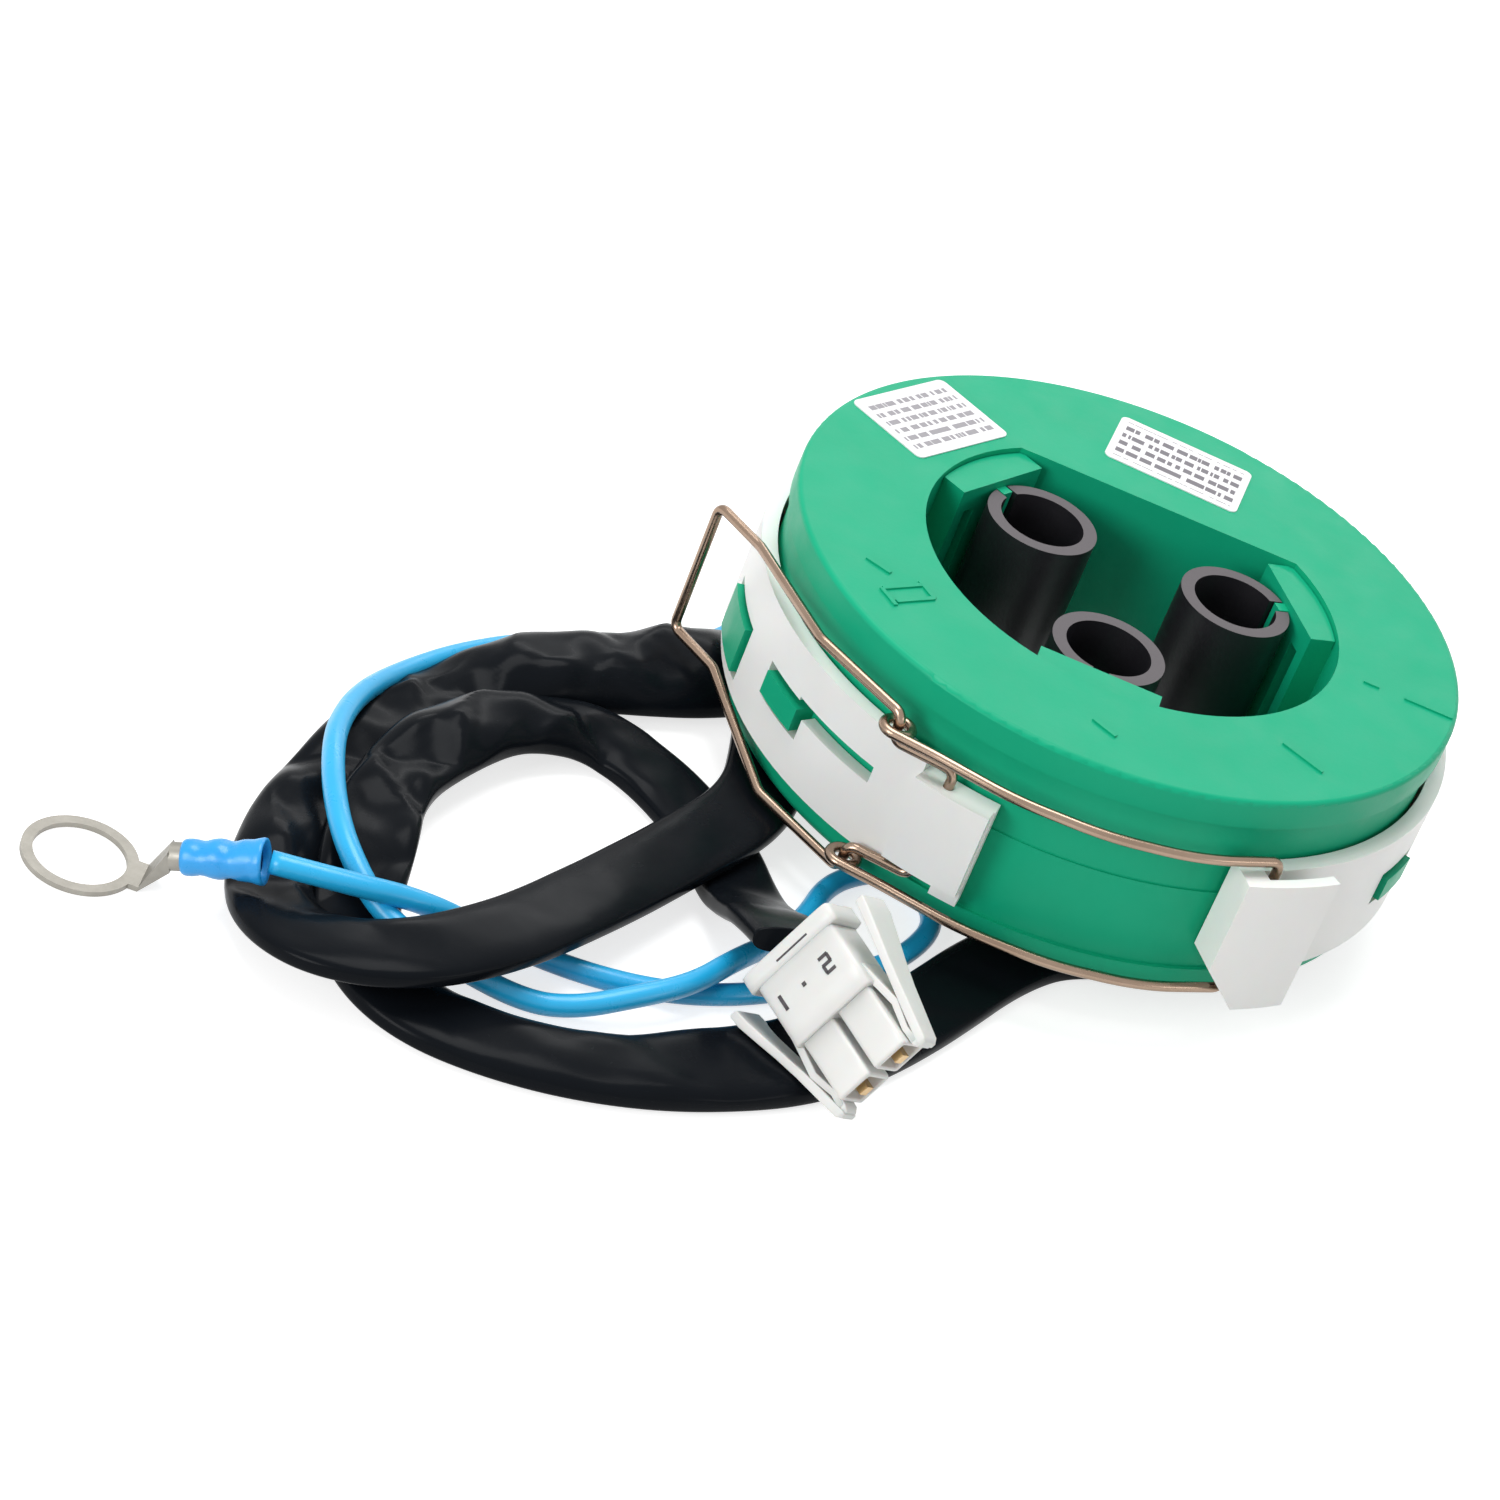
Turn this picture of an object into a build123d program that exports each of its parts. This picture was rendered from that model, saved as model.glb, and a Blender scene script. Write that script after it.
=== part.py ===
"""Core-balance current transformer: ring, clamp band, wire bail latch and flying lead."""
from build123d import *
import os
from math import cos, degrees, radians, sin, tan

os.makedirs("parts", exist_ok=True)

# ---- Driving dimensions, millimetres and degrees ----------------------------
# Lead sleeve: a lay-flat tube with two cores in it
sleeve_width = 12.6
sleeve_thick = 3.5
sleeve_bevel = 1.2
lay_gap = 0.3            # air between one layer of the lead and the next
guide_rise = 30.0
joint_gap = 0.05         # between the lead's two lengths, and at each cord's end
coil_r = 44.0            # the lead's coil under the ring
coil_step = 30
upper_coil_start = 291
lower_coil_start = 145
layer_1 = sleeve_thick / 2
layer_2 = layer_1 + sleeve_thick + lay_gap
ring_z = 2 * (sleeve_thick + lay_gap)

# Housing ring
outer_r = 54.0
ring_height = 35.4
window_r = 33.8
window_flat = 24.3       # the window's flat side, measured from the axis
wall = 2.4
window_wall = 2.2
floor_thick = 2.5
flange_height = 3.5
rim_height = 3.5
wall_inset = 0.6         # side wall set back from the flange and the rim
cover_inset = 0.3        # cover's wall set back from the base's wall
split_height = 17.8
lap_height = 2.0
lap_clear = 0.1
edge_round = 0.8

# Holders and insulating sleeves for the three conductors
holder_step = 120
holder_first = 30
holder_face = 27.9       # flat inner face of a holder, measured from the axis
holder_width = 19.4
holder_drop = 0.9        # holder's top below the cover's face
holder_clear = 0.15
pocket_width = 2.4
pocket_depth = 3.0
pocket_offset = 6.4
rib_width = 2.0
rib_depth = 1.7
toe_height = 1.6
toe_width = 8.0
tube_r = 9.0
tube_bore_r = 6.8
tube_gap = 0.15          # between a tube and its holder's face
tube_seat_gap = 0.1
tube_drop = 2.2          # tube's top below the cover's face
slit_clear = 0.3

# Core, winding and pads sealed inside
winding_in_r = 37.2
winding_out_r = 49.8
winding_thick = 2.6
core_clear = 0.2
pad_thick = 2.0

# Clamp band with its pivot block and catch
band_in_clear = 0.3
band_thick = 2.5
band_low = 4.6           # band's edges above the ring's bottom
band_high = 24.6
latch_height = 15.5      # latch mid-plane above the ring's bottom
band_end_angle = 263.0
catch_start_angle = 300.5
catch_root_angle = 304.6
catch_lip_angle = 316.0
catch_low = 2.0
catch_high = 25.6
catch_cut_width = 6.8    # corner cut off the catch for the link's lower arm
catch_cut_high = 10.5
catch_gap = 3.2
catch_thick = 1.8
block_start_angle = 250.5
block_low = 7.7
block_high = 22.4
block_thick = 5.0
foot_angle = 258.5       # strap keeps its full depth below the block beyond here
band_slot = (226.5, 242.0, 15.9, 16.8)

# Wire bail
wire_r = 0.8
pin_clear = 0.05
pin_depth = 5.0
pivot_angle = 255.0
pivot_r = outer_r - wall_inset + band_in_clear + band_thick   # on the band's outer face
eye_angle = 245.1
eye_rise = 2.2           # eyes stand this far outside the pivot's circle
eye_axis_r = pivot_r + eye_rise
eye_r = 2.1              # mean radius of the link's eyes
tail_half = 9.8          # half-heights of the wires about the latch mid-plane
link_half = 12.1
arm_half = 14.4
handle_half = 11.5
catch_wire_angle = 306.4
catch_wire_r = pivot_r + catch_gap / 2    # closed end lies in the middle of the catch's gap
wire_bend = 1.6
wide_bend = 4.0
lever_elbow = (-39.8, -42.5)
lever_knee = (-53.8, -20.5)
lever_tip = (-62.0, -14.0)
arm_clear = 4.1          # air between the rim's circle and the link's arms
link_arm_r = outer_r + arm_clear + wire_r
link_arm_angles = (252, 265, 279, 293)
eye_exit = 262.0         # where the arms leave their eyes, seen from the eye

# Lead's strands outside the coil, corner by corner: the near strand and the outer strand
near_strand = [(-45.3, -4.8, layer_2), (-40.8, -25.0, layer_2), (-39.0, -42.0, layer_2), (-46.6, -60.5, 5.7),
               (-54.7, -81.0, 7.2), (-63.5, -100.5, 9.0), (-75.0, -113.8, 9.3), (-90.0, -115.0, 6.2)]
outer_strand = [(-99.3, -102.0, 2.0), (-99.5, -83.5, layer_1), (-97.6, -66.5, layer_1), (-90.6, -47.2, layer_1),
                (-84.8, -34.7, layer_1), (-75.4, -21.8, layer_1), (-65.0, -11.4, layer_1),
                (-50.0, 2.5, layer_1)]
lead_joint = (-40.06, 18.04, layer_1)
# the front strand, the inner strand and the rise into the connector
front_strand = [(13.5, -39.8, layer_1), (3.5, -49.5, layer_1), (-4.8, -67.5, layer_1), (-12.6, -82.5, layer_1),
                (-22.5, -94.0, layer_1), (-37.0, -104.2, layer_1), (-56.0, -111.0, layer_1),
                (-71.5, -111.0, layer_1), (-82.0, -102.3, 2.2)]
inner_strand = [(-86.2, -88.6, 5.4), (-88.2, -72.5, 5.8), (-84.5, -57.5, 5.8), (-77.0, -45.5, 5.6),
                (-66.0, -35.5, 2.0), (-55.0, -38.8, layer_1), (-42.6, -49.0, layer_1)]
connector_rise = [(-36.0, -60.2, 1.9), (-32.5, -69.3, 7.0), (-29.6, -77.3, 12.8)]
# Earth wire, from the ring's underside round the left, under the ring and back to the terminal
earth_route = [(-47.4, 22.1, ring_z - joint_gap), (-47.4, 22.1, 4.0), (-49.9, 18.6, 2.0), (-58.5, 7.0, 1.75),
               (-71.5, -5.0, 1.75), (-84.0, -19.0, 1.75), (-94.3, -34.8, 1.9), (-98.3, -48.5, 5.8),
               (-98.8, -61.5, 7.2), (-97.4, -74.0, 9.4), (-93.5, -85.5, 9.7), (-88.0, -95.5, 9.2),
               (-79.5, -102.5, 6.2), (-69.5, -105.0, 5.5), (-57.5, -102.3, 1.85), (-50.5, -100.0, 2.6),
               (-43.5, -95.0, 4.6), (-37.0, -88.3, 5.4), (-33.0, -79.0, 5.3), (-29.6, -69.5, 2.8),
               (-26.2, -58.5, 1.75), (-25.0, -46.5, 1.75), (-16.5, -37.0, 1.75), (-7.5, -44.5, 1.75),
               (-10.5, -58.0, 1.75), (-20.0, -71.0, 1.75), (-29.0, -80.5, 1.75), (-38.0, -86.6, 1.75),
               (-47.0, -90.0, 1.75), (-57.0, -91.6, 1.9), (-66.6, -93.8, 4.0), (-75.5, -99.0, 8.6),
               (-85.5, -104.4, 10.6)]

# Labels and raised marks on the cover (centre, length, width, turn)
label_thick = 0.2
label_gap = 0.02
label_corner = 1.2
label_rating_at = (-38.4, 21.3)
label_rating_turn = 58.2
label_rating_size = (21.4, 15.8)
label_terminals_at = (0.8, 39.4)
label_terminals_turn = -3.0
label_terminals_size = (23.0, 14.6)
mark_height = 0.3
marks = [(-32.0, -29.5, 7.0, 0.7, 45), (-29.4, -31.5, 7.0, 0.7, 45), (-33.2, -33.6, 4.2, 0.7, -45),
         (-28.4, -27.6, 4.2, 0.7, -45), (-36.4, -26.4, 4.4, 0.7, -20), (3.0, -44.0, 4.4, 0.7, -28),
         (32.2, -30.1, 7.6, 0.5, -27), (39.7, -2.0, 2.6, 0.5, 0), (49.2, -2.0, 8.0, 0.5, 0)]

# Earth wire and its terminal
earth_r = 1.65
wire_end_gap = 0.5
barrel_r = 3.1
barrel_length = 11.5
barrel_rear = Vector(-96.4, -106.4, 10.1)
barrel_axis = Vector(-11.0, -0.95, -4.0).normalized()
crimp_r = 2.0
crimp_length = 5.5       # crimp tube, most of it inside the barrel
crimp_depth = 4.0
eye_hole_r = 6.5
eye_outer_r = 8.1
terminal_thick = 0.8
terminal_low = 0.1
terminal_turn = 4.9      # the terminal's heading from its eye
eye_hole_x = -120.3
eye_hole_y = -108.4
neck_width = 5.6
neck_reach = 9.0

# Two-way connector
conn_rear = Vector(-26.0, -84.3, 15.8)
conn_axis = Vector(0.76, -0.62, -0.18).normalized()
conn_face_hint = (-0.516, -0.751, 0.412)
conn_length = 26.3
conn_width = 12.8
conn_thick = 8.0
conn_body_length = 13.5
tower_size = 5.8
cavity_size = 4.2
cavity_depth = 7.0
tower_pitch = 6.9
flange_length = 3.0
slot_length = 9.0
arm_thick = 1.1
arm_width = 3.6
arm_length = 18.0
arm_hook = 2.0
contact_width = 1.6
contact_length = 4.5
arm_reach = 8.5          # half of the connector's width over its latch arms

# Snap lugs of the base and the band's windows round them: start and end angles, heights
lug_height = 3.6         # lugs stand this far off the side wall
lugs = ((193.5, 206, 7.4, 15.2), (217, 226.5, 12.2, 16.2), (338, 347, 12.2, 16.2))
lug_clear = 1.0

# ---- Values that follow from them -------------------------------------------
top_z = ring_z + ring_height
latch_z = ring_z + latch_height
wall_r = outer_r - wall_inset
cover_r = wall_r - cover_inset
holder_top = top_z - holder_drop
tube_axis_r = holder_face - tube_gap - tube_r
tube_base = ring_z + toe_height + tube_seat_gap
tube_top = top_z - tube_drop
band_in_r = wall_r + band_in_clear
band_out_r = band_in_r + band_thick
holder_angles = [holder_first + holder_step * step for step in range(3)]


def polar(radius, angle):
    """Return the X and Y of a point at a radius and an angle in degrees."""
    return radius * cos(radians(angle)), radius * sin(radians(angle))


def window_shape(growth=0.0):
    """Return the window's D-shaped outline, grown all round by the amount given."""
    with BuildSketch() as outline:
        Circle(window_r + growth)
        with Locations((0, window_flat + growth)):
            Rectangle(4 * window_r, 4 * window_r, align=(Align.CENTER, Align.MAX), mode=Mode.INTERSECT)
    return outline.sketch


def sector(inner_r, outer_radius, start, end):
    """Return a piece of a flat ring between two angles, less than a half turn apart."""
    reach = 3 * outer_radius
    middle = (start + end) / 2
    with BuildSketch() as piece:
        Circle(outer_radius)
        Circle(inner_r, mode=Mode.SUBTRACT)
        with BuildLine(mode=Mode.PRIVATE) as sides:
            Polyline((0, 0), polar(reach, start), polar(reach, middle), polar(reach, end), close=True)
        make_face(sides.line, mode=Mode.INTERSECT)
    return piece.sketch


def corner_radii(points, share=0.45, largest=1000.0):
    """Return one bend radius for each corner: a share of the shorter run, over tan of half the turn."""
    radii = []
    for before, corner, after in zip(points, points[1:], points[2:]):
        run_in = Vector(*corner) - Vector(*before)
        run_out = Vector(*after) - Vector(*corner)
        turn = radians(run_in.get_angle(run_out))
        radius = share * min(run_in.length, run_out.length) / tan(turn / 2)
        radii.append(min(radius, largest))
    return radii


def section_plane(points):
    """Return the plane across a path's start, its X direction level."""
    heading = Vector(*points[1]) - Vector(*points[0])
    level = Vector(0, 0, 1).cross(heading)
    return Plane(origin=points[0], x_dir=level if level.length > 0.01 else Vector(1, 0, 0), z_dir=heading)


def level_guide(path):
    """Return a copy of a path straight above it, which keeps a swept section level."""
    return Wire(path.edges()).moved(Location((0, 0, guide_rise)))


def shifted(point, neighbour, amount):
    """Return a point moved towards its neighbour by an amount."""
    step = (Vector(*neighbour) - Vector(*point)).normalized() * amount
    return tuple(Vector(*point) + step)


# Outlines used by more than one moulding
window_hole = window_shape()
window_outside = window_shape(window_wall)

# ---- Housing base: floor, side wall, window wall and the three holders --------
holder_plan = Plane.XY.offset(ring_z)
with BuildPart() as housing_base:
    with BuildSketch(holder_plan):
        Circle(outer_r)
    extrude(amount=flange_height)
    fillet(housing_base.edges().group_by(Axis.Z)[0], edge_round)
    with BuildSketch(Plane.XY.offset(ring_z + flange_height)):
        Circle(wall_r)
    extrude(amount=split_height - flange_height)
    # spigot that the cover's wall laps over
    with BuildSketch(Plane.XY.offset(ring_z + split_height)):
        Circle(cover_r - wall / 2)
    extrude(amount=lap_height)
    # trough for the wound core
    with BuildSketch(Plane.XY.offset(ring_z + floor_thick)):
        Circle(wall_r - wall)
    extrude(amount=ring_height, mode=Mode.SUBTRACT)
    # window wall up to the cover's plate
    with BuildSketch(Plane.XY.offset(ring_z)):
        add(window_outside)
    extrude(amount=ring_height - floor_thick)
    with BuildSketch(Plane.XY.offset(ring_z)):
        add(window_hole)
    extrude(amount=ring_height, mode=Mode.SUBTRACT)
    # holders: a flat-faced block, side pockets, a rib for the tube's slit and a toe under the tube
    for angle in holder_angles:
        with BuildSketch(Plane.XY.offset(ring_z)):
            with BuildSketch(mode=Mode.PRIVATE) as block:
                with Locations(Rotation(0, 0, angle) * Location((holder_face, 0))):
                    Rectangle(window_r, holder_width, align=(Align.MIN, Align.CENTER))
                Circle(window_r + window_wall / 2, mode=Mode.INTERSECT)
            add(block.sketch)
        extrude(amount=ring_height - floor_thick)
        with BuildSketch(Plane.XY.offset(top_z - floor_thick)):
            with BuildSketch(mode=Mode.PRIVATE) as ledge:
                with Locations(Rotation(0, 0, angle) * Location((holder_face, 0))):
                    Rectangle(window_r, holder_width, align=(Align.MIN, Align.CENTER))
                Circle(window_r - holder_clear, mode=Mode.INTERSECT)
                with Locations((0, window_flat - holder_clear)):
                    Rectangle(4 * window_r, 4 * window_r, align=(Align.CENTER, Align.MAX),
                              mode=Mode.INTERSECT)
            add(ledge.sketch)
        extrude(amount=floor_thick - holder_drop)
        with BuildSketch(Plane.XY.offset(ring_z)):
            for side in (-1, 1):
                with Locations(Rotation(0, 0, angle) * Location((holder_face, side * pocket_offset))):
                    Rectangle(2 * pocket_depth, pocket_width)
        extrude(amount=ring_height - 2 * floor_thick, mode=Mode.SUBTRACT)
        with BuildSketch(Plane.XY.offset(ring_z)):
            with Locations(Rotation(0, 0, angle) * Location((holder_face, 0))):
                Rectangle(2 * rib_depth, rib_width)
        extrude(amount=tube_top - ring_z)
        with BuildSketch(Plane.XY.offset(ring_z)):
            with Locations(Rotation(0, 0, angle) * Location((holder_face, 0))):
                Rectangle(2 * rib_depth, toe_width)
        extrude(amount=toe_height)
    # snap lugs that stand in the clamp band's windows
    for start, end, low, high in lugs:
        with BuildSketch(Plane.XY.offset(ring_z + low)):
            add(sector(wall_r - wall / 2, wall_r + lug_height, start, end))
        extrude(amount=high - low)
housing_base.part.label = "housing_base"
export_step(housing_base.part, "parts/housing_base.step")

# ---- Housing cover: top plate and the upper side wall, lapped over the base ----
with BuildPart() as housing_cover:
    with BuildSketch(Plane.XY.offset(ring_z + split_height)):
        Circle(cover_r)
        Circle(cover_r - wall / 2 + lap_clear, mode=Mode.SUBTRACT)
    extrude(amount=lap_height + lap_clear)
    with BuildSketch(Plane.XY.offset(ring_z + split_height + lap_height + lap_clear)):
        Circle(cover_r)
        Circle(cover_r - wall, mode=Mode.SUBTRACT)
    extrude(amount=ring_height - split_height - lap_height - lap_clear)
    with BuildSketch(Plane.XY.offset(top_z - floor_thick)):
        Circle(outer_r)
    extrude(amount=floor_thick)
    with BuildSketch(Plane.XY.offset(top_z - rim_height - floor_thick / 2)):
        Circle(outer_r)
        Circle(cover_r - wall / 2, mode=Mode.SUBTRACT)
    extrude(amount=rim_height)
    fillet(housing_cover.edges().group_by(Axis.Z)[-1], edge_round)
    with BuildSketch(Plane.XY.offset(ring_z)):
        add(window_hole)
    extrude(amount=2 * ring_height, mode=Mode.SUBTRACT)
    # raised marks: a flow arrow in a frame, a short bar, an edge line and two radial dashes
    with BuildSketch(Plane.XY.offset(top_z)):
        for x, y, long_side, short_side, turn in marks:
            with Locations(Location((x, y, 0), (0, 0, turn))):
                Rectangle(long_side, short_side)
    extrude(amount=mark_height)
housing_cover.part.label = "housing_cover"
export_step(housing_cover.part, "parts/housing_cover.step")

# ---- Core, winding and the two pads that hold them, sealed in the housing ------
trough_low = ring_z + floor_thick + core_clear
trough_high = top_z - floor_thick - core_clear
winding_low = trough_low + pad_thick + core_clear
winding_high = trough_high - pad_thick - core_clear
with BuildPart() as base_pad:
    with BuildSketch(Plane.XY.offset(trough_low)):
        Circle(winding_out_r)
        Circle(winding_in_r, mode=Mode.SUBTRACT)
    extrude(amount=pad_thick)
base_pad.part.label = "base_pad"
export_step(base_pad.part, "parts/base_pad.step")

with BuildPart() as cover_pad:
    with BuildSketch(Plane.XY.offset(trough_high - pad_thick)):
        Circle(winding_out_r)
        Circle(winding_in_r, mode=Mode.SUBTRACT)
    extrude(amount=pad_thick)
cover_pad.part.label = "cover_pad"
export_step(cover_pad.part, "parts/cover_pad.step")

with BuildPart() as secondary_winding:
    with BuildSketch(Plane.XY.offset(winding_low)):
        Circle(winding_out_r)
        Circle(winding_in_r, mode=Mode.SUBTRACT)
    extrude(amount=winding_high - winding_low)
    chamfer(secondary_winding.edges(), winding_thick / 2)
    # room for the core inside the turns
    with BuildSketch(Plane.XY.offset(winding_low + winding_thick)):
        Circle(winding_out_r - winding_thick)
        Circle(winding_in_r + winding_thick, mode=Mode.SUBTRACT)
    extrude(amount=winding_high - winding_low - 2 * winding_thick, mode=Mode.SUBTRACT)
secondary_winding.part.label = "secondary_winding"
export_step(secondary_winding.part, "parts/secondary_winding.step")

with BuildPart() as core_ring:
    with BuildSketch(Plane.XY.offset(winding_low + winding_thick + core_clear)):
        Circle(winding_out_r - winding_thick - core_clear)
        Circle(winding_in_r + winding_thick + core_clear, mode=Mode.SUBTRACT)
    extrude(amount=winding_high - winding_low - 2 * winding_thick - 2 * core_clear)
core_ring.part.label = "core_ring"
export_step(core_ring.part, "parts/core_ring.step")

# ---- Slit insulating sleeves, one on each holder --------------------------------
tubes = []
for number, angle in enumerate(holder_angles, 1):
    tube_x, tube_y = polar(tube_axis_r, angle)
    with BuildPart() as conductor_sleeve:
        with BuildSketch(Plane.XY.offset(tube_base)):
            with Locations((tube_x, tube_y)):
                Circle(tube_r)
                Circle(tube_bore_r, mode=Mode.SUBTRACT)
            with Locations(Rotation(0, 0, angle) * Location((tube_axis_r, 0))):
                Rectangle(2 * tube_r, rib_width + 2 * slit_clear, align=(Align.MIN, Align.CENTER),
                          mode=Mode.SUBTRACT)
        extrude(amount=tube_top - tube_base)
    conductor_sleeve.part.label = f"conductor_sleeve_{number}"
    export_step(conductor_sleeve.part, f"parts/conductor_sleeve_{number}.step")

# ---- Clamp band: strap round the back, pivot block at one end, catch at the other ----
root_r = band_in_r + band_thick / 2      # lumps on the strap start in the middle of its thickness
with BuildPart() as clamp_band:
    with BuildSketch(Plane.XY.offset(ring_z + band_low)):
        Circle(band_out_r)
        Circle(band_in_r, mode=Mode.SUBTRACT)
        add(sector(window_r, 2 * outer_r, band_end_angle, catch_start_angle + 1), mode=Mode.SUBTRACT)
    extrude(amount=band_high - band_low)
    # strap cut away where the bail's tails pass over and under the pivot block
    with BuildSketch(Plane.XY.offset(ring_z)):
        add(sector(window_r, 2 * outer_r, block_start_angle, foot_angle))
    extrude(amount=block_low, mode=Mode.SUBTRACT)
    with BuildSketch(Plane.XY.offset(ring_z + block_high)):
        add(sector(window_r, 2 * outer_r, block_start_angle, band_end_angle + 1))
    extrude(amount=ring_height - block_high, mode=Mode.SUBTRACT)
    with BuildSketch(Plane.XY.offset(ring_z + block_low)):
        add(sector(root_r, band_in_r + block_thick, block_start_angle, band_end_angle - 0.3))
    extrude(amount=block_high - block_low)
    # windows for the base's snap lugs, the middle one with a narrow tail
    for start, end, low, high in lugs + (band_slot,):
        with BuildSketch(Plane.XY.offset(ring_z + low - lug_clear)):
            add(sector(window_r, 2 * outer_r, start - lug_clear, end + lug_clear))
        extrude(amount=high - low + 2 * lug_clear, mode=Mode.SUBTRACT)
    # catch: a root on the strap's end, then an outer plate open away from the pivot
    with BuildSketch(Plane.XY.offset(ring_z + catch_low)):
        add(sector(root_r, band_out_r + catch_gap + catch_thick, catch_start_angle, catch_root_angle))
        add(sector(band_out_r + catch_gap, band_out_r + catch_gap + catch_thick, catch_start_angle,
                   catch_lip_angle))
    extrude(amount=catch_high - catch_low)
    # corner cut off for the link's lower arm
    cut_x, cut_y = polar(band_in_r - 1, catch_start_angle)
    cut_plane = Plane(origin=(cut_x, cut_y, ring_z), x_dir=(-cut_y, cut_x, 0), z_dir=(cut_x, cut_y, 0))
    with BuildSketch(cut_plane):
        with BuildLine():
            Polyline((-4, -4), (catch_cut_width, -4), (catch_cut_width, catch_low), (-1, catch_cut_high),
                     (-4, catch_cut_high), close=True)
        make_face()
    extrude(amount=3 * block_thick, mode=Mode.SUBTRACT)
    # holes for the bail's pins
    for level, up in ((block_high, -1), (block_low, 1)):
        with BuildSketch(Plane.XY.offset(ring_z + level)):
            with Locations(polar(pivot_r, pivot_angle)):
                Circle(wire_r + pin_clear)
        extrude(amount=up * (pin_depth + 0.5), mode=Mode.SUBTRACT)
clamp_band.part.label = "clamp_band"
export_step(clamp_band.part, "parts/clamp_band.step")

# ---- Bail lever: one bent wire, handle, two arms, cranks and pins ----------------
pivot_x, pivot_y = polar(pivot_r, pivot_angle)
eye_x, eye_y = polar(eye_axis_r, eye_angle)
pin_top = block_high - pin_depth
pin_bottom = block_low + pin_depth
lever_half = [
    (pivot_x, pivot_y, ring_z + pin_top),
    (pivot_x, pivot_y, latch_z + tail_half),
    (eye_x, eye_y, latch_z + tail_half),
    (eye_x, eye_y, latch_z + arm_half),
    (lever_elbow[0], lever_elbow[1], latch_z + arm_half),
    (lever_knee[0], lever_knee[1], latch_z + handle_half),
    (lever_tip[0], lever_tip[1], latch_z + handle_half),
]
lever_mirror = [(x, y, 2 * latch_z - z) for x, y, z in reversed(lever_half)]
lever_mirror[-1] = (pivot_x, pivot_y, ring_z + pin_bottom)
lever_path = lever_half + lever_mirror
lever_bends = [wire_bend] * 3 + [wide_bend, wide_bend, wire_bend]
with BuildPart() as bail_lever:
    with BuildLine() as lever_line:
        FilletPolyline(*lever_path, radius=lever_bends + lever_bends[::-1])
    with BuildSketch(Plane(origin=lever_path[0], z_dir=(0, 0, 1))):
        Circle(wire_r)
    sweep(path=lever_line.line)
bail_lever.part.label = "bail_lever"
export_step(bail_lever.part, "parts/bail_lever.step")

# ---- Draw link: an eye on each crank, two arms round the wall, closed end in the catch ----
catch_x, catch_y = polar(catch_wire_r, catch_wire_angle)
arm_points = [polar(link_arm_r, angle) for angle in link_arm_angles]
arm_start = (eye_x + eye_r * cos(radians(eye_exit)), eye_y + eye_r * sin(radians(eye_exit)))
link_half_path = [arm_start] + arm_points + [(catch_x, catch_y)]
link_path = [(x, y, latch_z + link_half) for x, y in link_half_path]
link_path += [(x, y, latch_z - link_half) for x, y in reversed(link_half_path)]
link_bends = corner_radii(link_path, largest=40.0)
link_bends[len(arm_points)] = wire_bend
link_bends[len(arm_points) + 1] = wire_bend
with BuildPart() as bail_link:
    with BuildLine() as link_line:
        FilletPolyline(*link_path, radius=link_bends)
    with BuildSketch(Plane(origin=link_path[0], z_dir=Vector(*link_path[1]) - Vector(*link_path[0]))):
        Circle(wire_r)
    sweep(path=link_line.line)
    for side in (-1, 1):
        with Locations((eye_x, eye_y, latch_z + side * link_half)):
            Torus(eye_r, wire_r)
bail_link.part.label = "bail_link"
export_step(bail_link.part, "parts/bail_link.step")

# ---- Labels on the cover ----------------------------------------------------------
with BuildPart() as label_rating:
    with BuildSketch(Plane.XY.offset(top_z + label_gap)):
        with Locations(Location((*label_rating_at, 0), (0, 0, label_rating_turn))):
            RectangleRounded(*label_rating_size, label_corner)
    extrude(amount=label_thick)
label_rating.part.label = "label_rating"
export_step(label_rating.part, "parts/label_rating.step")

with BuildPart() as label_terminals:
    with BuildSketch(Plane.XY.offset(top_z + label_gap)):
        with Locations(Location((*label_terminals_at, 0), (0, 0, label_terminals_turn))):
            RectangleRounded(*label_terminals_size, label_corner)
    extrude(amount=label_thick)
label_terminals.part.label = "label_terminals"
export_step(label_terminals.part, "parts/label_terminals.step")


def lead_section(points):
    """Return the plane across a path's start, its X direction level."""
    heading = Vector(*points[1]) - Vector(*points[0])
    return Plane(origin=points[0], x_dir=Vector(0, 0, 1).cross(heading), z_dir=heading)


# ---- Lead sleeve, first length: upper coil, near strand and outer strand ------------
coil_corner_r = coil_r / cos(radians(coil_step / 2))
upper_path = [(*polar(coil_r, upper_coil_start), layer_2)]
for step in range(8):
    upper_path.append((*polar(coil_corner_r, upper_coil_start + coil_step * (step + 0.5)), layer_2))
upper_path += near_strand
upper_path += outer_strand
upper_path.append(lead_joint)
upper_radii = corner_radii(upper_path)
with BuildPart() as lead_sleeve_upper:
    with BuildLine() as upper_line:
        FilletPolyline(*upper_path, radius=upper_radii)
    with BuildSketch(section_plane(upper_path)) as upper_section:
        Rectangle(sleeve_width, sleeve_thick)
        chamfer(upper_section.vertices(), sleeve_bevel)
    sweep(path=upper_line.line, binormal=level_guide(upper_line))
lead_sleeve_upper.part.label = "lead_sleeve_upper"
export_step(lead_sleeve_upper.part, "parts/lead_sleeve_upper.step")

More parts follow.
